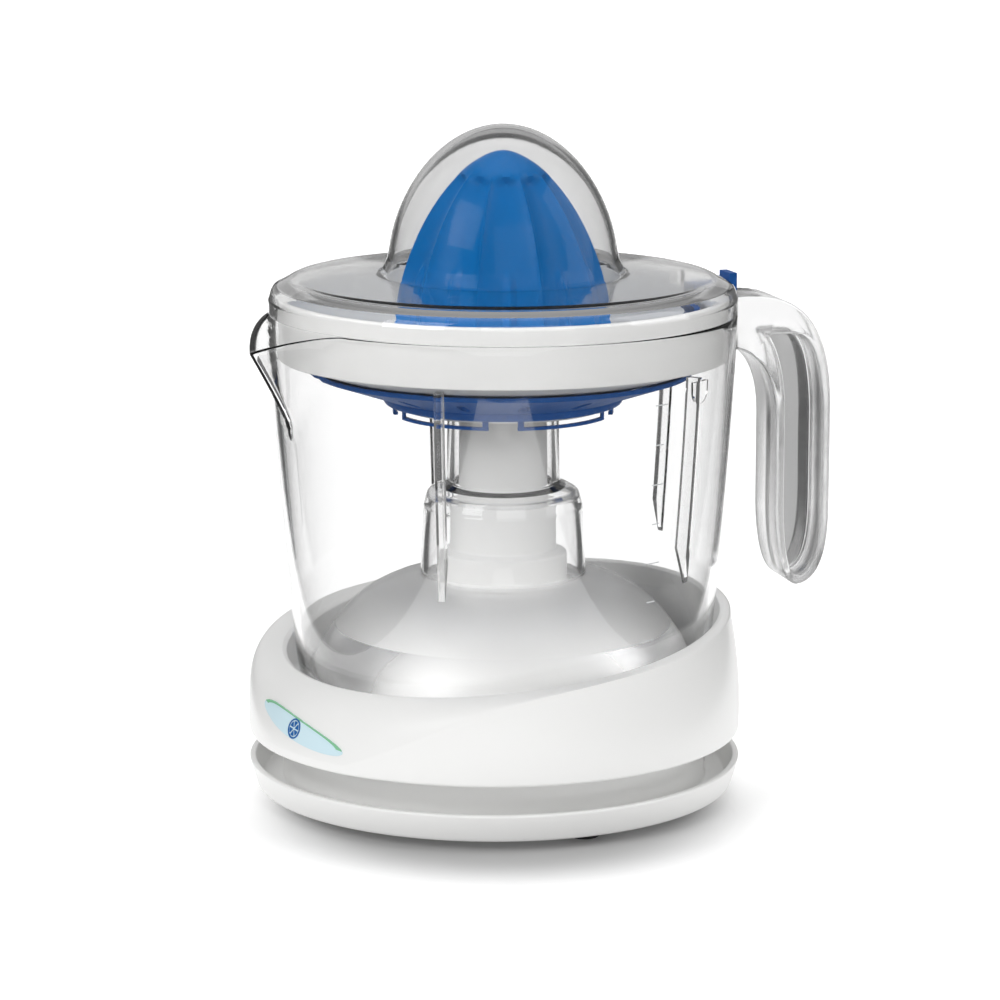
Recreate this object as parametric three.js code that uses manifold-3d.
// Electric citrus press juicer: motor base with cord store, clear jug on top,
// strainer, pulp control ring, reamer cone and clear dust cover.
// Millimetres and degrees, +Z up, handle towards +X, spout on the side away from it.
import * as THREE from 'three';
import { mergeVertices } from 'three/addons/utils/BufferGeometryUtils.js';
import Module from 'manifold-3d';

const wasm = await Module();
wasm.setup();

// ---------------------------------------------------------------- sizes
// Clearances
const seatGap = 0.3;
const slideGap = 0.5;
const rotorGap = 0.6;

// Walls
const shellWall = 2.2;
const jugWall = 2.2;
const coverWall = 1.6;
const strainerWall = 1.6;

// Feet and bottom cover with the cord store
const footHeight = 3.2;
const footRadius = 8;
const footInset = 15.5;
const firstFootAngle = 8;
const baseRadius = 81.5;
const baseShift = -3;
const lowerRingHeight = 9.3;
const lowerRingTaper = 2.7;
const coverFloor = 2.4;
const drumInset = 11.3;
const cordGapHeight = 9;
const cordExitAngle = 340;
const cordExitWidth = 12;
const cordExitHeight = 8;

// Base shell: body, slanted crease and slanted collar
const shellTaper = 3.2;
const shellWidestHeight = 28;
const highSideAngle = 24;
const collarWidth = 2.6;
const collarLip = 1.6;
const collarMiddle = 55.2;
const collarRise = 9;
const creaseTop = 60.9;
const creaseSlope = 12;
const creaseDive = 28;
const wellRadius = 70.6;
const wellFloor = 38;
const domeInset = 6.6;
const domeRise = 32;
const towerFlange = 6;
const towerShoulder = 3.5;
const towerStepRise = 11;
const towerNeckRadius = 17.5;
const towerNeckRise = 16;
const sleeveInset = 2.9;
const sleeveDrop = 17;
const badgeAcross = 22;
const badgeHigh = 12;
const badgeHeight = 33;

// Jug
const jugRimRadius = 76.5;
const jugRimHeight = 160;
const jugFootGap = 2.6;
const jugCollarGap = 0.4;
const jugFlare = 1.4;
const chimneyShoulderRise = 6;
const chimneyNeckGap = 1.1;
const chimneyDrop = 14;
const spoutAngle = 189;
const spoutReach = 12;
const spoutDip = 8;
const spoutDepth = 34;
const spoutHalfAngle = 24;
const jugRibs = 5;
const jugRibRise = 8;
const jugRibDepth = 4;
const jugRibWidth = 1.8;
const jugRibAngle = 239;

// Handle
const handleReach = 33.5;
const handleDepth = 19;
const handleWidth = 22;
const handleRise = 3;
const handleRoot = 17;
const handleLength = 98;
const handleRecess = 9.5;
const handleRim = 3.2;

// Strainer basket and pulp ring
const bandRise = 5.4;
const bandDrop = 13.8;
const bandWidth = 2;
const funnelSlope = 0.34;
const bowlInset = 1.2;
const bowlDrop = 31.2;
const bowlDepth = 4.7;
const hubRise = 2.2;
const slotCount = 16;
const slotLength = 12;
const slotWidth = 3;
const slotInset = 14.2;
const ringWall = 1.6;
const ringDrumWidth = 3.9;
const ringDrumHeight = 2.2;
const ringRise = 1.1;
const ringWindows = 5;
const windowAngle = 51;
const postAngle = 3;
const windowHeight = 2.1;
const ringRim = 1;
const ringRimWidth = 1.4;
const leverAngle = 4;
const firstWindowAngle = 291;
const leverTravel = 12;
const leverWidth = 9;
const leverInset = 10.5;
const leverRise = 9.3;

// Reamer cone
const coneHeight = 60.5;
const coneDrop = 8;
const coneRadius = 36;
const coneWall = 2.4;
const coneBulge = 1.8;
const coneFullness = 0.6;
const ribCount = 10;
const ribDepth = 2.2;

// Dust cover
const coverDomeGap = 1.4;
const coverDomeBulge = 1.7;
const coverPlateRise = 11.5;
const coverPlateInset = 7.5;
const coverSkirtGap = 0.1;
const coverHeadroom = 8.5;

// Spindle and thrust
const spindleRadius = 4;
const spindleBottom = 20;
const driveHexHeight = 38;
const driveHexWider = 1;
const bushWall = 2.4;
const bushLength = 8;
const bushFlange = 1.2;
const bearingWall = 4;
const plungerWider = 3.6;
const plungerStem = 3.4;
const plungerHeight = 2.6;
const springWider = 1.9;
const springWire = 1.2;
const springTurns = 4.5;
const pressTravel = 2.5;

// Gear train: rotor pinion, idler and output gear
const fineModule = 0.6;
const coarseModule = 1;
const pinionTeeth = 10;
const idlerTeeth = 60;
const outputTeeth = 50;
const idlerAngle = 90;
const rotorAngle = 151;
const plateHeight = 38;
const plateThickness = 2.5;
const plateRadius = 56;
const fineGearWidth = 3.8;
const outputGearHeight = 49;
const outputGearWidth = 6;

// Motor
const coreLength = 62;
const coreWidth = 34;
const coreHeight = 14;
const coreBottom = 15;
const coreOverhang = 13.5;
const legGap = 12;
const magnetRadius = 9;
const coilLength = 22;
const coilThickness = 5.2;
const motorShaftRadius = 1.2;

// Microswitch
const switchGap = 6.9;
const switchLength = 15;
const switchWidth = 8;
const switchHeight = 8.3;
const buttonRadius = 1.2;

// Screws
const screwRadius = 1.5;
const screwHead = 3;
const plateScrewCircle = 49;
const coverScrewCircle = 58;

// Facets
const ringSegments = 32;
const pinSegments = 16;

// ---------------------------------------------------------------- derived
const coverBottom = footHeight;
const coverFloorTop = coverBottom + coverFloor;
const lowerRingTop = coverBottom + lowerRingHeight;
const shellBottom = lowerRingTop + cordGapHeight;
const drumTop = shellBottom - seatGap;
const idlerDistance = coarseModule * (pinionTeeth + outputTeeth) / 2;
const rotorDistance = fineModule * (pinionTeeth + idlerTeeth) / 2;
const idlerCentre = polar(idlerDistance, idlerAngle);
const rotorCentre = polar(rotorDistance, rotorAngle).add(idlerCentre);
const plateTop = plateHeight + plateThickness;
const fineGearHeight = plateTop + 1.5;

const footCircle = baseRadius - footInset;
const drumRadius = baseRadius - drumInset;
const collarRadius = wellRadius + collarWidth;
const domeFoot = wellRadius - domeInset;
const domeTop = wellFloor + domeRise;
const towerRadius = towerNeckRadius + towerShoulder;
const towerFlangeRadius = towerRadius + towerFlange;
const towerStep = domeTop + towerStepRise;
const towerNeckTop = towerStep + towerNeckRise;
const sleeveRadius = towerNeckRadius - sleeveInset;
const sleeveTop = jugRimHeight - sleeveDrop;

const jugFootRadius = wellRadius - jugFootGap;
const jugFootHeight = wellFloor + 3;
const jugCollarRadius = wellRadius - jugCollarGap;
const jugCollarHeight = collarMiddle + collarRise;
const chimneyRadius = towerFlangeRadius + seatGap;
const chimneyShoulder = towerNeckTop + chimneyShoulderRise;
const chimneyNeckRadius = towerNeckRadius + chimneyNeckGap;
const chimneyTop = jugRimHeight - chimneyDrop;
const jugRibBottom = domeTop + jugRibRise;
const handleOuter = jugRimRadius + handleReach;
const handleTop = jugRimHeight + handleRise;
const handleTip = handleTop - handleLength;

const bandTop = jugRimHeight + bandRise;
const bandBottom = jugRimHeight - bandDrop;
const bowlRadius = coneRadius - bowlInset;
const bowlBottom = jugRimHeight - bowlDrop;
const bowlRimHeight = bowlBottom + bowlDepth;
const strainerHubTop = chimneyTop + hubRise;
const slotCircle = bowlRadius + slotInset;
const leverPost = jugRimRadius - leverInset;
const leverTop = jugRimHeight + leverRise;
const ringRadius = leverPost - 4;
const ringBottom = bowlBottom + ringRise;

const coneBottom = jugRimHeight - coneDrop;
const coneTip = coneBottom + coneHeight;
const coverDomeRadius = coneRadius + coverDomeGap;
const coverPlate = jugRimHeight + coverPlateRise;
const coverPlateRadius = jugRimRadius - coverPlateInset;
const coverSkirtRadius = jugRimRadius + coverSkirtGap;
const coverApex = coneTip + coverHeadroom;

const driveHexRadius = spindleRadius + driveHexWider;
const driveHexBottom = coneBottom - 2;
const spindleTop = driveHexBottom + driveHexHeight;
const bushRadius = spindleRadius + bushWall;
const plungerRadius = spindleRadius + plungerWider;
const springRadius = spindleRadius + springWider;
const switchDistance = plungerRadius + switchGap;

// ---------------------------------------------------------------- materials
function paint(color, roughness, metalness = 0) {
  return new THREE.MeshStandardMaterial({ color, roughness, metalness });
}

function clear(color) {
  const material = paint(color, 0.08);
  material.transparent = true;
  material.opacity = 0.35;
  return material;
}

const whitePlastic = paint(0xf0f0ee, 0.35);
const bluePlastic = paint(0x0a62aa, 0.3);
const clearPlastic = clear(0xeaf0f0);
const blackRubber = paint(0x1c1c1e, 0.9);
const gearPlastic = paint(0xe4dfcf, 0.5);
const darkPlastic = paint(0x2b2d30, 0.5);
const steel = paint(0xc4c6c8, 0.3, 1);
const laminations = paint(0x6f7175, 0.45, 1);
const copper = paint(0xb06a3b, 0.35, 1);
const ferrite = paint(0x3a3b3d, 0.6);
const badgeGreen = paint(0x58a85c, 0.4);

// ---------------------------------------------------------------- helpers
function radians(degrees) {
  return degrees * Math.PI / 180;
}

function polar(radius, angle) {
  return new THREE.Vector2(radius, 0).rotateAround(new THREE.Vector2(), radians(angle));
}

// A closed mesh as a solid: only positions, shared corners, no empty triangles.
function toSolid(geometry) {
  const bare = geometry.clone();
  bare.deleteAttribute('normal');
  bare.deleteAttribute('uv');
  const merged = mergeVertices(bare, 1e-4);
  const corners = merged.index.array;
  const kept = [];
  for (let i = 0; i < corners.length; i += 3) {
    const [a, b, c] = corners.slice(i, i + 3);
    if (a !== b && b !== c && c !== a) {
      kept.push(a, b, c);
    }
  }
  const mesh = new wasm.Mesh({
    numProp: 3,
    vertProperties: Float32Array.from(merged.attributes.position.array),
    triVerts: Uint32Array.from(kept),
  });
  return new wasm.Manifold(mesh);
}

function toGeometry(solid) {
  const mesh = solid.getMesh();
  const geometry = new THREE.BufferGeometry();
  geometry.setAttribute('position', new THREE.BufferAttribute(mesh.vertProperties, 3));
  geometry.setIndex(new THREE.BufferAttribute(mesh.triVerts, 1));
  return geometry;
}

function join(geometries) {
  return toGeometry(geometries.map(toSolid).reduce((sum, solid) => sum.add(solid)));
}

function cut(geometry, tools) {
  const start = toSolid(geometry);
  return toGeometry(tools.map(toSolid).reduce((rest, tool) => rest.subtract(tool), start));
}

// A solid of revolution about Z; the profile goes up on the outside.
function turned(profile, segments = ringSegments) {
  const points = profile.map(([radius, z]) => new THREE.Vector2(radius, z));
  return toGeometry(toSolid(new THREE.LatheGeometry(points, segments).rotateX(Math.PI / 2)));
}

// As turned, with a profile of its own at each angle, and a shift along X per point.
function turnedBy(profileAt, segments = ringSegments) {
  const rows = [];
  for (let i = 0; i < segments; i += 1) {
    const angle = i / segments * 2 * Math.PI;
    const row = profileAt(angle).map(([radius, z, shift = 0]) => (
      new THREE.Vector3(shift + radius * Math.cos(angle), radius * Math.sin(angle), z)));
    rows.push(row);
  }
  const corners = [];
  rows.forEach((row, i) => {
    const next = rows[(i + 1) % segments];
    row.forEach((point, j) => {
      const above = (j + 1) % row.length;
      corners.push(point, next[j], next[above], point, next[above], row[above]);
    });
  });
  const geometry = new THREE.BufferGeometry().setFromPoints(corners);
  return toGeometry(toSolid(geometry));
}

function upright(radius, bottom, top, segments = pinSegments) {
  const geometry = new THREE.CylinderGeometry(radius, radius, top - bottom, segments);
  return geometry.rotateX(Math.PI / 2).translate(0, 0, (bottom + top) / 2);
}

function tube(outer, inner, bottom, top, segments = pinSegments) {
  const profile = [[inner, bottom], [outer, bottom], [outer, top], [inner, top], [inner, bottom]];
  return turned(profile, segments);
}

function block(x, y, z, width, depth, height) {
  return new THREE.BoxGeometry(width, depth, height).translate(x, y, z + height / 2);
}

function extruded(shape, bottom, height, curveSegments = 8) {
  const options = { depth: height, bevelEnabled: false, curveSegments };
  return new THREE.ExtrudeGeometry(shape, options).translate(0, 0, bottom);
}

// A wedge-shaped ring piece around the Z axis, centred on an angle.
function sector(inner, outer, bottom, top, angle, halfAngle, segments = 6) {
  const from = radians(angle - halfAngle);
  const to = radians(angle + halfAngle);
  const shape = new THREE.Shape();
  shape.absarc(0, 0, outer, from, to, false);
  shape.absarc(0, 0, inner, to, from, true);
  shape.closePath();
  return extruded(shape, bottom, top - bottom, segments);
}

function quadratic(start, control, end, count) {
  const curve = new THREE.QuadraticBezierCurve(
    new THREE.Vector2(...start), new THREE.Vector2(...control), new THREE.Vector2(...end));
  return curve.getPoints(count).map((point) => [point.x, point.y]);
}

function atCentre(geometry, centre) {
  return geometry.translate(centre.x, centre.y, 0);
}

const group = new THREE.Group();
const machine = new THREE.Group();
group.add(machine);

function addPart(name, geometry, material) {
  const mesh = new THREE.Mesh(geometry, material);
  mesh.name = name;
  machine.add(mesh);
  return mesh;
}

// ---------------------------------------------------------------- base
function domeProfile(rise, inset, count) {
  return quadratic(
    [domeFoot - inset, wellFloor + rise],
    [domeFoot - 8 - inset * 0.6, domeTop - 4 + rise],
    [towerFlangeRadius, domeTop + rise],
    count);
}

// Section of the base shell at one angle: outer wall, crease, shoulder, collar,
// well, dome, tower and sleeve, then the same way back inside.
function shellSection(angle) {
  const turn = Math.cos(angle - radians(highSideAngle));
  const low = (1 - turn) / 2;
  const collar = collarMiddle + collarRise * turn;
  const crease = Math.max(creaseTop - creaseSlope * low - creaseDive * low ** 8, shellBottom + 3);
  const wallRadius = (z) => (
    baseRadius - 0.1 - shellTaper * ((z - shellWidestHeight) / 32) ** 2);
  const creaseRadius = wallRadius(crease);
  const shoulderBend = creaseRadius - 0.12 * (creaseRadius - collarRadius);
  const shoulder = quadratic(
    [creaseRadius, crease],
    [shoulderBend, crease + 0.8 * (collar - crease)],
    [collarRadius, collar], 4);
  const shoulderShift = (index) => baseShift * (1 - index / 4);
  const middle = (shellBottom + crease) / 2;
  const outside = [
    [drumRadius - 3.2, shellBottom, baseShift],
    [wallRadius(shellBottom) - 1, shellBottom, baseShift],
    [wallRadius(shellBottom + 1.5), shellBottom + 1.5, baseShift],
    [wallRadius(middle), middle, baseShift],
    ...shoulder.map(([radius, z], index) => [radius, z, shoulderShift(index)]),
    [collarRadius - collarLip, collar - 0.6],
    [wellRadius, wellFloor],
    ...domeProfile(0, 0, 3),
    [towerRadius, domeTop + 1.5],
    [towerRadius, towerStep],
    [towerNeckRadius, towerStep + 1],
    [towerNeckRadius, towerNeckTop],
    [sleeveRadius, towerNeckTop + 1],
    [sleeveRadius, sleeveTop],
    [bushRadius, sleeveTop],
  ];
  const inside = [
    [bushRadius, towerNeckTop - 2],
    [towerNeckRadius - shellWall, towerNeckTop - 2],
    [towerNeckRadius - shellWall, towerStep],
    [towerRadius - shellWall, towerStep - 1],
    [towerRadius - shellWall, domeTop + 0.5],
    ...domeProfile(-shellWall, 1, 3).reverse(),
    [domeFoot - 1, wellFloor - shellWall - 0.8],
    [wellRadius + 1.4, wellFloor - shellWall, baseShift / 3],
    [wellRadius + 2.6, Math.min(crease, wellFloor) + 0.5 - shellWall, baseShift],
    [wallRadius(shellBottom) - shellWall, shellBottom + shellWall, baseShift],
    [drumRadius - 3.2, shellBottom + shellWall, baseShift],
  ];
  return [...outside, ...inside];
}

function screwBoss(circle, angle, bottom, top, radius) {
  const place = polar(circle, angle);
  const boss = tube(radius, screwRadius + seatGap, bottom, top, pinSegments);
  return boss.translate(place.x, place.y, 0);
}

const plateScrewAngles = [200, 270, 340];
const coverScrewAngles = [53, 143, 233, 323];

function baseShell() {
  const bosses = plateScrewAngles.map((angle) => (
    screwBoss(plateScrewCircle, angle, plateTop + seatGap, plateTop + 15, 3.6)));
  return join([turnedBy(shellSection, 36), ...bosses]);
}

function bottomCover() {
  const ringBottomRadius = baseRadius - lowerRingTaper;
  const profile = [
    [0, coverBottom],
    [ringBottomRadius - 1, coverBottom],
    [ringBottomRadius, coverBottom + 1],
    [baseRadius, lowerRingTop],
    [baseRadius - shellWall, lowerRingTop],
    [ringBottomRadius - shellWall, coverFloorTop],
    [drumRadius, coverFloorTop],
    [drumRadius, drumTop],
    [drumRadius - shellWall, drumTop],
    [drumRadius - shellWall, coverFloorTop],
    [0, coverFloorTop],
  ];
  const dish = turned(profile).translate(baseShift, 0, 0);
  const springCup = tube(springRadius + 4, springRadius + 2, coverFloorTop - 0.5, 11, 20);
  const exit = block(drumRadius, 0, coverFloorTop + 2.5, 12, cordExitWidth, cordExitHeight);
  exit.rotateZ(radians(cordExitAngle)).translate(baseShift, 0, 0);
  const holes = coverScrewAngles.map((angle) => {
    const place = polar(coverScrewCircle, angle);
    return atCentre(upright(screwRadius + seatGap, 0, 20), place);
  });
  return cut(join([dish, springCup]), [exit, ...holes]);
}

addPart('base_shell', baseShell(), whitePlastic);
addPart('bottom_cover', bottomCover(), whitePlastic);

for (let i = 0; i < 4; i += 1) {
  const place = polar(footCircle, firstFootAngle + 90 * i);
  const profile = [[0, 0], [footRadius - 1, 0], [footRadius, 1],
    [footRadius, footHeight - seatGap], [0, footHeight - seatGap]];
  addPart(`foot_${i + 1}`, atCentre(turned(profile, pinSegments), place), blackRubber);
}

// A pan-head screw pointing up, with its head resting under the given height.
function screw(place, seat, length) {
  const profile = [[0, seat - 2], [screwHead * 0.7, seat - 2], [screwHead, seat - 1.2],
    [screwHead, seat - seatGap], [screwRadius, seat - seatGap],
    [screwRadius, seat + length], [0, seat + length]];
  return atCentre(turned(profile, 8), place);
}

function addScrews(name, places, seat, length) {
  places.forEach((place, index) => {
    addPart(`${name}_${index + 1}`, screw(place, seat, length), steel);
  });
}

const coverScrewPlaces = coverScrewAngles.map((angle) => polar(coverScrewCircle, angle));
const plateScrewPlaces = plateScrewAngles.map((angle) => polar(plateScrewCircle, angle));
addScrews('cover_screw', coverScrewPlaces, coverBottom, 12);

function badge() {
  const shape = new THREE.Shape().absellipse(0, 0, badgeAcross / 2, badgeHigh / 2, 0, 2 * Math.PI);
  const plate = extruded(shape, 0, 0.8, 20);
  plate.rotateZ(Math.PI / 2).rotateY(radians(66)).translate(baseRadius - 1, 0, badgeHeight);
  return plate.rotateZ(radians(highSideAngle + 180)).translate(baseShift, 0, 0);
}

addPart('badge', badge(), badgeGreen);

// ---------------------------------------------------------------- gears
// Straight-flanked teeth, thin enough to run with backlash.
function gearShape(teeth, module, boreRadius) {
  const pitch = module * teeth / 2;
  const tip = pitch + 0.85 * module;
  const root = pitch - 1.2 * module;
  const step = 2 * Math.PI / teeth;
  const shape = new THREE.Shape();
  for (let i = 0; i < teeth; i += 1) {
    const centre = i * step;
    const corners = [[root, -0.31], [tip, -0.1], [tip, 0.1], [root, 0.31]];
    corners.forEach(([radius, share], index) => {
      const angle = centre + share * step;
      const x = radius * Math.cos(angle);
      const y = radius * Math.sin(angle);
      if (i === 0 && index === 0) {
        shape.moveTo(x, y);
      } else {
        shape.lineTo(x, y);
      }
    });
  }
  shape.closePath();
  shape.holes.push(new THREE.Path().absarc(0, 0, boreRadius, 0, 2 * Math.PI, true));
  return shape;
}

// Turns the meshing gear so that one of its gaps faces the driving tooth.
function meshAngle(driverTeeth, driverAngle, teeth, direction) {
  const phase = (direction - driverAngle) * driverTeeth;
  return direction + 180 + (180 + phase) / teeth;
}

const idlerPinionAngle = idlerAngle + 180;
const idlerGearAngle = idlerPinionAngle;
const outputGearTurn = meshAngle(pinionTeeth, idlerPinionAngle, outputTeeth, idlerAngle + 180);
const rotorPinionTurn = meshAngle(idlerTeeth, idlerGearAngle, pinionTeeth, rotorAngle);

function gear(teeth, module, bore, bottom, height, turn, centre) {
  const geometry = extruded(gearShape(teeth, module, bore), bottom, height, 10);
  return atCentre(geometry.rotateZ(radians(turn)), centre);
}

const axis = new THREE.Vector2();
const idlerBore = 2.3;
const idlerPinRadius = 2;
const fineGearTop = fineGearHeight + fineGearWidth;
const outputGearTop = outputGearHeight + outputGearWidth;

function idlerGear() {
  const wheel = gear(
    idlerTeeth, fineModule, idlerBore, fineGearHeight, fineGearWidth, idlerGearAngle, idlerCentre);
  const pinion = gear(
    pinionTeeth, coarseModule, idlerBore, fineGearTop - 0.5,
    outputGearTop + 1.5 - fineGearTop, idlerPinionAngle, idlerCentre);
  return join([wheel, pinion]);
}

addPart('idler_gear', idlerGear(), gearPlastic);

function idlerPin() {
  const top = outputGearTop + 1.3;
  return atCentre(turned([
    [0, plateHeight], [idlerPinRadius, plateHeight], [idlerPinRadius, top],
    [idlerPinRadius + 1.2, top], [idlerPinRadius + 1.2, top + 1], [0, top + 1],
  ], 12), idlerCentre);
}

addPart('idler_pin', idlerPin(), steel);

const outputBore = spindleRadius + 0.2;
addPart('output_gear', join([
  gear(outputTeeth, coarseModule, outputBore, outputGearHeight, outputGearWidth,
    outputGearTurn, axis),
  tube(spindleRadius + bearingWall, outputBore, outputGearHeight + 1, outputGearTop + 3, 20),
]), gearPlastic);

addPart('rotor_pinion', gear(
  pinionTeeth, fineModule, motorShaftRadius + 0.15, fineGearHeight - 0.5, fineGearWidth + 1,
  rotorPinionTurn, rotorCentre), gearPlastic);

// ---------------------------------------------------------------- gear plate
const coreTop = coreBottom + coreHeight;
const coreLeft = rotorCentre.x - coreOverhang;
const coreRight = coreLeft + coreLength;
const motorScrewX = coreRight - 5;
const motorScrewPlaces = [-1, 1].map((side) => (
  new THREE.Vector2(motorScrewX, rotorCentre.y + side * (coreWidth / 2 - 5.5))));

function gearPlate() {
  const plate = upright(plateRadius, plateHeight, plateTop, ringSegments);
  const bearing = upright(spindleRadius + bearingWall, plateHeight - 2.5, plateTop + 2, 20);
  const pillars = motorScrewPlaces.map((place) => (
    atCentre(upright(3.6, coreTop + seatGap, plateHeight + 0.5), place)));
  const holes = [
    upright(spindleRadius + seatGap, 30, 50),
    atCentre(upright(idlerPinRadius + 0.1, 30, 50, 12), idlerCentre),
    atCentre(upright(motorShaftRadius + seatGap, 30, 50, 12), rotorCentre),
    ...plateScrewAngles.map((angle) => (
      atCentre(upright(screwRadius + seatGap, 30, 50), polar(plateScrewCircle, angle)))),
    ...motorScrewPlaces.map((place) => atCentre(upright(screwRadius + seatGap, 20, 36), place)),
  ];
  return cut(join([plate, bearing, ...pillars]), holes);
}

addPart('gear_plate', gearPlate(), darkPlastic);
addScrews('plate_screw', plateScrewPlaces, plateHeight, 11);

// ---------------------------------------------------------------- motor
function coreShape() {
  const half = coreWidth / 2;
  const left = -coreOverhang;
  const right = coreLength - coreOverhang;
  const shape = new THREE.Shape();
  shape.moveTo(left, -half);
  shape.lineTo(right, -half);
  shape.lineTo(right, half);
  shape.lineTo(left, half);
  shape.lineTo(left, 1.5);
  shape.lineTo(-magnetRadius, 1.5);
  const bore = magnetRadius + rotorGap;
  const mouth = Math.asin(1.5 / bore);
  const neck = Math.asin(legGap / 2 / bore);
  shape.absarc(0, 0, bore, Math.PI - mouth, neck, true);
  shape.lineTo(right - 10, legGap / 2);
  shape.lineTo(right - 10, -legGap / 2);
  shape.absarc(0, 0, bore, -neck, Math.PI + mouth, true);
  shape.lineTo(left, -1.5);
  shape.closePath();
  return shape;
}

function statorCore() {
  const core = atCentre(extruded(coreShape(), coreBottom, coreHeight, 8), rotorCentre);
  const holes = motorScrewPlaces.map((place) => (
    atCentre(upright(screwRadius + seatGap, 0, 60), place)));
  return cut(core, holes);
}

addPart('stator_core', statorCore(), laminations);

function coil(side) {
  const legWidth = (coreWidth - legGap) / 2;
  const inner = [legWidth / 2 + seatGap, coreHeight / 2 + seatGap];
  const outer = [inner[0] + coilThickness, inner[1] + coilThickness];
  const centreX = coreRight - 12.5 - coilLength / 2;
  const centreY = rotorCentre.y + side * (legGap + legWidth) / 2;
  const body = new THREE.BoxGeometry(coilLength, outer[0] * 2, outer[1] * 2);
  const hole = new THREE.BoxGeometry(coilLength + 1, inner[0] * 2, inner[1] * 2);
  return cut(body, [hole]).translate(centreX, centreY, coreBottom + coreHeight / 2);
}

addPart('stator_coil_front', coil(-1), copper);
addPart('stator_coil_rear', coil(1), copper);

addPart('rotor_magnet', atCentre(
  tube(magnetRadius, motorShaftRadius + 0.15, coreBottom - 0.5, coreTop + 1, 24),
  rotorCentre), ferrite);
addPart('rotor_shaft', atCentre(
  upright(motorShaftRadius, coreBottom - 4, fineGearTop + 1, 12), rotorCentre), steel);

function motorBracket() {
  const bottom = coreBottom - 5.5;
  const plate = block(0, 0, bottom, 14, coreWidth, 2);
  const posts = [-1, 1].map((side) => (
    block(0, side * (coreWidth / 2 - 2), bottom, 14, 4, 5.5 - seatGap)));
  const bore = upright(motorShaftRadius + seatGap, 0, 30, 12);
  return atCentre(cut(join([plate, ...posts]), [bore]), rotorCentre);
}

addPart('motor_bracket', motorBracket(), steel);
addScrews('motor_screw', motorScrewPlaces, coreBottom, coreHeight + 7);

// ---------------------------------------------------------------- spindle
function spindle() {
  const shaft = upright(spindleRadius, spindleBottom, driveHexBottom + 1);
  const hex = upright(driveHexRadius, driveHexBottom, spindleTop, 6);
  return join([shaft, hex]);
}

addPart('spindle', spindle(), steel);
addPart('spindle_bush', turned([
  [spindleRadius + seatGap, sleeveTop - bushLength],
  [bushRadius - seatGap, sleeveTop - bushLength],
  [bushRadius - seatGap, sleeveTop + seatGap],
  [bushRadius + 2, sleeveTop + seatGap],
  [bushRadius + 2, sleeveTop + seatGap + bushFlange],
  [spindleRadius + seatGap, sleeveTop + seatGap + bushFlange],
  [spindleRadius + seatGap, sleeveTop - bushLength],
], 20), gearPlastic);
addPart('spindle_clip', tube(
  spindleRadius + 2.4, outputBore, outputGearHeight - 1.2, outputGearHeight - seatGap, 16), steel);

const plungerTop = spindleBottom - seatGap;
const plungerBottom = plungerTop - plungerHeight;

function thrustPlunger() {
  const head = turned([
    [0, coverFloorTop + pressTravel + 0.6],
    [plungerStem, coverFloorTop + pressTravel + 0.6],
    [plungerStem, plungerBottom],
    [plungerRadius, plungerBottom],
    [plungerRadius, plungerTop],
    [0, plungerTop],
  ], 20);
  const lug = block(
    switchDistance / 2 + 2, 0, plungerBottom, switchDistance, 5, plungerHeight);
  return join([head, lug]);
}

addPart('thrust_plunger', thrustPlunger(), gearPlastic);

class SpringCurve extends THREE.Curve {
  getPoint(t, target = new THREE.Vector3()) {
    const angle = t * springTurns * 2 * Math.PI;
    const bottom = coverFloorTop + seatGap + springWire / 2;
    const top = plungerBottom - seatGap - springWire / 2;
    const z = bottom + t * (top - bottom);
    return target.set(springRadius * Math.cos(angle), springRadius * Math.sin(angle), z);
  }
}

function returnSpring() {
  const section = new THREE.Shape().absarc(0, 0, springWire / 2, 0, 2 * Math.PI);
  const options = { steps: Math.round(springTurns * 8), extrudePath: new SpringCurve(),
    curveSegments: 3 };
  return new THREE.ExtrudeGeometry(section, options);
}

addPart('return_spring', returnSpring(), steel);

const buttonTop = plungerBottom - seatGap;
const switchBottom = coverFloorTop + seatGap;
const switchTop = switchBottom + switchHeight;

function switchBody() {
  const body = block(
    switchDistance + switchLength / 2 - 3.5, 0, switchBottom, switchLength, switchWidth,
    switchHeight);
  const well = upright(buttonRadius + seatGap, switchTop - pressTravel - 1.5, switchTop + 1, 12);
  return cut(body, [well.translate(switchDistance, 0, 0)]);
}

addPart('switch_body', switchBody(), darkPlastic);
addPart('switch_button', upright(buttonRadius, switchTop - 1, buttonTop, 12)
  .translate(switchDistance, 0, 0), bluePlastic);

// ---------------------------------------------------------------- jug
// The wall stays clear of the well up to the collar and flares from there to the rim.
function jugRadius(z) {
  if (z < jugCollarHeight) {
    const rise = (z - jugFootHeight) / (jugCollarHeight - jugFootHeight);
    return jugFootRadius + rise * (jugCollarRadius - jugFootRadius);
  }
  const share = Math.max(jugRimHeight - z, 0) / (jugRimHeight - jugCollarHeight);
  return jugRimRadius - (jugRimRadius - jugCollarRadius) * share ** jugFlare;
}

// Spout: the wall is pushed out in a wedge that widens towards the rim.
function spoutPush(angle, z) {
  const height = Math.max(0, 1 - (jugRimHeight - z) / spoutDepth);
  const away = Math.abs(angle - radians(spoutAngle)) / radians(spoutHalfAngle);
  return Math.max(0, height - away);
}

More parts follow.
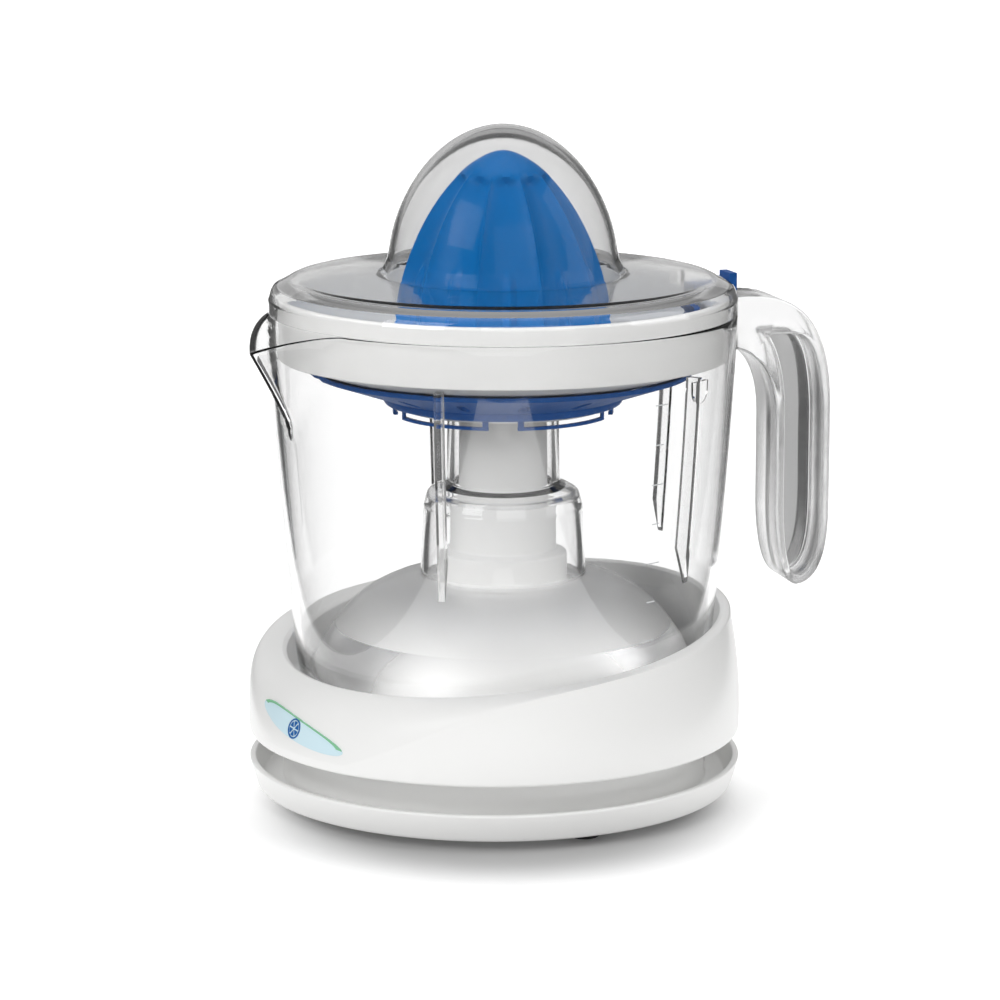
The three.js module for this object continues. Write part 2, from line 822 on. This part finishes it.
function jugSection(angle) {
  const wallHeights = [
    jugRimHeight, bandBottom, jugRimHeight - spoutDepth * 0.7, jugRimHeight - spoutDepth,
    jugCollarHeight + 26, jugCollarHeight, wellFloor + 10,
  ];
  const wallPoint = (z, inset) => {
    const push = spoutPush(angle, z);
    return [jugRadius(z) - inset + spoutReach * push, z - spoutDip * push ** 1.5];
  };
  const outer = wallHeights.map((z) => wallPoint(z, 0)).reverse();
  const inner = wallHeights.map((z) => wallPoint(z, jugWall));
  const chimneyInside = chimneyRadius - jugWall;
  const neckInside = chimneyNeckRadius - jugWall;
  return [
    [domeFoot + 1.2, wellFloor + 0.6],
    [jugFootRadius - 1.6, wellFloor + 0.6],
    [jugFootRadius - 0.4, jugFootHeight],
    ...outer,
    ...inner,
    [jugFootRadius - jugWall - 0.6, wellFloor + 5],
    ...domeProfile(1 + jugWall, 1.6, 3),
    [chimneyRadius, domeTop + 4.4],
    [chimneyRadius - 1.1, chimneyShoulder - 6.5],
    [chimneyRadius - 2.5, chimneyShoulder - 2],
    [chimneyNeckRadius + 2.5, chimneyShoulder],
    [chimneyNeckRadius, chimneyShoulder + 1],
    [chimneyNeckRadius - 0.4, chimneyTop],
    [neckInside - 0.4, chimneyTop],
    [neckInside, chimneyShoulder - 1.6],
    [neckInside + 3.5, chimneyShoulder - 2.2],
    [chimneyInside - 2, chimneyShoulder - 4],
    [chimneyInside - 1.1, chimneyShoulder - 8],
    [chimneyInside, domeTop + 3],
    [towerFlangeRadius + 0.4, domeTop + 1],
    ...domeProfile(1, -0.8, 3).reverse().slice(1, -1),
  ];
}

function jugRib(angle) {
  const underFunnel = funnelHeight(jugRadius(bandBottom) - jugWall - jugRibDepth);
  const jugRibTop = Math.min(underFunnel, bandBottom) - slideGap;
  const top = jugRadius(jugRibTop) - jugWall + 0.5;
  const bottom = jugRadius(jugRibBottom) - jugWall + 0.5;
  const shape = new THREE.Shape();
  shape.moveTo(bottom - jugRibDepth, jugRibBottom);
  shape.lineTo(bottom, jugRibBottom);
  shape.lineTo(top, jugRibTop);
  shape.lineTo(top - jugRibDepth, jugRibTop);
  shape.closePath();
  const rib = extruded(shape, -jugRibWidth / 2, jugRibWidth).rotateX(Math.PI / 2);
  return rib.rotateZ(radians(angle));
}

function jug() {
  const ribs = Array.from({ length: jugRibs }, (_, i) => jugRib(jugRibAngle + i * 360 / jugRibs));
  return join([turnedBy(jugSection, 40), ...ribs]);
}

addPart('jug', jug(), clearPlastic);

// ---------------------------------------------------------------- handle
// J-shaped outline in the X-Z plane.
const handleInner = handleOuter - handleDepth;
const handleUnder = handleTop - handleRoot;

function handleShape() {
  const root = jugRimRadius - 3;
  const shape = new THREE.Shape();
  shape.moveTo(root, handleUnder);
  shape.quadraticCurveTo(handleInner, handleUnder - 1, handleInner, handleUnder - 26);
  shape.lineTo(handleInner, handleTip + 24);
  shape.quadraticCurveTo(handleInner + 1, handleTip + 1, handleInner + 8, handleTip);
  shape.quadraticCurveTo(handleOuter, handleTip + 1, handleOuter, handleTip + 26);
  shape.lineTo(handleOuter, handleTop - 38);
  shape.quadraticCurveTo(handleOuter, handleTop - 1, root + 11, handleTop);
  shape.lineTo(root, handleTop);
  shape.closePath();
  return shape;
}

// The hollow in each side of the handle, a rim's width inside its outline.
function recessShape() {
  const inner = handleInner + handleRim;
  const outer = handleOuter - handleRim;
  const bottom = handleTip + handleRim;
  const start = handleUnder + 4;
  const shape = new THREE.Shape();
  shape.moveTo(inner - 6, start);
  shape.quadraticCurveTo(inner, start - 9, inner, start - 27);
  shape.lineTo(inner, bottom + 24);
  shape.quadraticCurveTo(inner + 0.5, bottom + 1, inner + 5, bottom);
  shape.quadraticCurveTo(outer, bottom + 1, outer, bottom + 24);
  shape.lineTo(outer, start - 27);
  shape.quadraticCurveTo(outer - 1, start, inner + 3, start);
  shape.closePath();
  return shape;
}

function handlePlate(shape, from, to) {
  return extruded(shape, from, to - from, 5).rotateX(Math.PI / 2);
}

function jugHandle() {
  const half = handleWidth / 2;
  const wall = upright(jugRimRadius + seatGap, handleTip, handleTop + 1, 120);
  const recesses = [
    handlePlate(recessShape(), half - handleRecess, half + 1),
    handlePlate(recessShape(), -half - 1, handleRecess - half),
  ];
  return cut(handlePlate(handleShape(), -half, half), [wall, ...recesses]);
}

addPart('jug_handle', jugHandle(), clearPlastic);

// ---------------------------------------------------------------- strainer
const bandRadius = jugRadius(bandBottom) - jugWall - slideGap;

function radialSlots(bottom, top, length) {
  return Array.from({ length: slotCount }, (_, i) => (
    block(slotCircle, 0, bottom, length, slotWidth, top - bottom)
      .rotateZ(radians(leverAngle + (i + 0.5) * 360 / slotCount))));
}

// Underside of the strainer's funnel, from the bowl out to the band.
function funnelHeight(radius) {
  return bowlRimHeight + funnelSlope * (radius - bowlRadius);
}

function strainerBasket() {
  const hubInside = chimneyNeckRadius + slideGap + 0.2;
  const floorRadius = bandRadius - bandWidth;
  const profile = [
    [hubInside, bowlBottom],
    [bowlRadius - 1, bowlBottom],
    [bowlRadius, bowlBottom + 1],
    [bowlRadius, bowlRimHeight],
    [floorRadius, funnelHeight(floorRadius)],
    [bandRadius, bandBottom],
    [bandRadius, bandTop - 0.8],
    [bandRadius - 0.8, bandTop],
    [floorRadius - 1.4, bandTop],
    [floorRadius - 1.6, funnelHeight(floorRadius) + strainerWall + 1],
    [floorRadius - 3.2, funnelHeight(floorRadius) + strainerWall],
    [bowlRadius - strainerWall, bowlRimHeight + 1.2],
    [bowlRadius - strainerWall, bowlBottom + strainerWall],
    [hubInside + strainerWall, bowlBottom + strainerWall],
    [hubInside + strainerWall, strainerHubTop],
    [hubInside, strainerHubTop],
    [hubInside, bowlBottom],
  ];
  const reach = leverTravel + 6;
  const post = sector(leverPost - 2, leverPost + 2.6, bowlRimHeight, bandTop, leverAngle, reach);
  const notch = sector(
    leverPost - 4, bandRadius + 3, handleTop - 0.4, bandTop + 1, leverAngle, reach);
  const slots = radialSlots(bowlRimHeight - 2, bandBottom + 3, slotLength);
  return cut(turned(profile), [post, notch, ...slots]);
}

addPart('strainer_basket', strainerBasket(), whitePlastic);

function pulpRing() {
  const inside = bowlRadius + slideGap + 0.3;
  const drum = inside + ringDrumWidth;
  const under = (radius) => funnelHeight(radius) - slideGap - 0.3;
  const profile = [
    [inside, ringBottom],
    [inside + 1.6, ringBottom],
    [drum - 0.8, ringBottom + 0.6],
    [drum, ringBottom + ringDrumHeight],
    [drum, under(drum) - ringWall],
    [ringRadius, under(ringRadius) - ringWall],
    [ringRadius, under(ringRadius)],
    [inside, under(inside)],
    [inside, ringBottom],
  ];
  const ring = cut(turned(profile), radialSlots(ringBottom, bandBottom + 3, slotLength - 2));
  const armBottom = under(ringRadius - 3) - 1.7;
  const arm = block(
    (ringRadius + leverPost) / 2 - 1, 0, armBottom, leverPost - ringRadius + 4, leverWidth, 1.7);
  const armOver = handleTop + 0.5;
  const tabRadius = coverSkirtRadius + 2.6;
  const post = block(leverPost, 0, armBottom, 2, leverWidth, armOver + 1.4 - armBottom);
  const over = block(
    (leverPost + tabRadius) / 2, 0, armOver, tabRadius - leverPost + 2, leverWidth, 1.6);
  const tab = block(tabRadius, 0, armOver, 2.6, leverWidth, leverTop - armOver);
  const lever = join([arm, post, over, tab]).rotateZ(radians(leverAngle));
  const windowBottom = ringBottom - windowHeight;
  const rimInside = inside - 0.8;
  const rimOutside = rimInside + ringRimWidth;
  const pieces = [ring, lever];
  for (let i = 0; i < ringWindows; i += 1) {
    const middle = firstWindowAngle + i * 360 / ringWindows;
    const half = windowAngle / 2 + postAngle;
    pieces.push(sector(
      rimInside, rimOutside, windowBottom - ringRim, windowBottom, middle, half));
    for (const side of [-1, 1]) {
      const place = middle + side * (half - postAngle / 2);
      pieces.push(sector(
        inside, rimOutside, windowBottom - ringRim, ringBottom + 0.4, place, postAngle / 2, 1));
    }
  }
  return join(pieces);
}

addPart('pulp_ring', pulpRing(), bluePlastic);

// ---------------------------------------------------------------- cone
// Outer radius of the reamer at a height above its skirt: a pointed ogive.
function ogive(height) {
  const share = Math.min(height / coneHeight, 1);
  return coneRadius * (1 - share ** coneBulge) ** coneFullness;
}

function coneSection(angle) {
  const ridge = (1 - Math.cos(ribCount * angle)) / 2;
  const shares = [0, 0.2, 0.4, 0.6, 0.78, 0.9, 0.97];
  const outside = shares.map((share) => {
    const depth = share > 0.9 ? 0 : ribDepth * Math.min(1, 6 * share + 0.3);
    return [ogive(share * coneHeight) - depth * ridge, coneBottom + share * coneHeight];
  });
  const bore = driveHexRadius + 0.4;
  const hub = bore + 3;
  const inside = [0.78, 0.55, 0.28, 0].map((share) => (
    [ogive(share * coneHeight) - coneWall - ribDepth, coneBottom + share * coneHeight]));
  return [
    ...outside,
    [0, coneTip],
    [0, spindleTop + 1],
    [bore, spindleTop + 1],
    [bore, coneBottom - 2],
    [hub, coneBottom - 2],
    [hub, coneBottom + 0.78 * coneHeight - 2],
    ...inside,
  ];
}

addPart('reamer_cone', turnedBy(coneSection, 4 * ribCount), bluePlastic);

// ---------------------------------------------------------------- dust cover
function coverSection(inset) {
  const domeBottom = coverPlate + 6;
  const domeHeight = coverApex - domeBottom - inset;
  const domeRadius = coverDomeRadius - inset;
  const dome = [0.3, 0.6, 0.8, 0.94].map((share) => (
    [domeRadius * Math.sqrt(1 - share ** coverDomeBulge), domeBottom + share * domeHeight]));
  return [
    [coverSkirtRadius - inset, jugRimHeight + seatGap],
    [coverSkirtRadius - inset, jugRimHeight + 4.6],
    [coverSkirtRadius - 1.2 - inset * 0.9, jugRimHeight + 8.3 - inset * 0.4],
    [coverPlateRadius - inset * 0.5, coverPlate - inset],
    [coverDomeRadius + 2.6 - inset, coverPlate + 1.2 - inset],
    [domeRadius + 0.4, domeBottom - inset * 0.5],
    ...dome,
    [0, coverApex - inset],
  ];
}

function dustCover() {
  const outside = coverSection(0);
  const inside = coverSection(coverWall).reverse();
  const closed = [...outside, ...inside, outside[0]];
  const notch = sector(
    leverPost - 4, coverSkirtRadius + 5, jugRimHeight - 1, jugRimHeight + 5.9, leverAngle,
    leverTravel + 6);
  return cut(turned(closed), [notch]);
}

addPart('dust_cover', dustCover(), clearPlastic);

// The origin is under the middle of the whole outline.
const spoutTip = (jugRimRadius + spoutReach) * Math.cos(radians(spoutAngle));
machine.position.x = -(handleOuter + spoutTip) / 2;

export default group;
